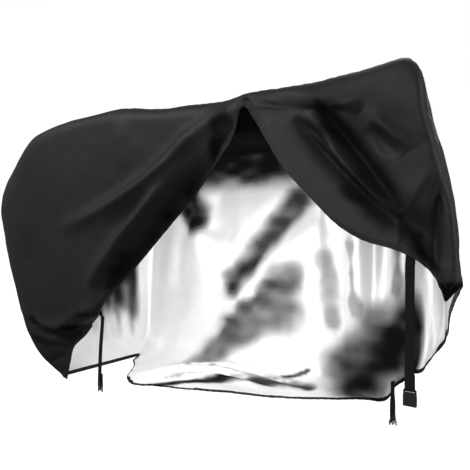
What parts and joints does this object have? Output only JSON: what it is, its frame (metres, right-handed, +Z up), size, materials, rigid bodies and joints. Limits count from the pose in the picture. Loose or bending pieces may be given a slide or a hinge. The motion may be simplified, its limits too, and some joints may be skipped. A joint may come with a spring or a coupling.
{
  "type": "fitted bicycle cover",
  "caption": "Fitted cover of dark coated cloth with a silver inside, hanging as over a load, its near side lifted at a slant, with hem straps and side-release buckle halves.",
  "frame": {"origin": "just under the cloth at the middle of the top, 1.02 m above the floor that the far side's hem rests on", "axes": "+Z up; +X to the end with the upright front edge; -Y to the side that is lifted"},
  "size_m": [1.9098, 1.0195, 1.0732],
  "materials": {
    "outer_cloth": "plain-woven synthetic cloth, dark grey, slightly sheened",
    "webbing": "flat black webbing, matt",
    "buckle_plastic": "moulded black plastic, satin"
  },
  "bodies": {
    "root": {"near_panel": "outer_cloth", "gusset": "outer_cloth", "far_panel": "outer_cloth", "strap_rear_near": "webbing", "buckle_rear_near": "buckle_plastic", "strap_front_near": "webbing", "buckle_front_near": "buckle_plastic", "strap_front_far": "webbing", "buckle_front_far": "buckle_plastic"}
  },
  "joints": []
}
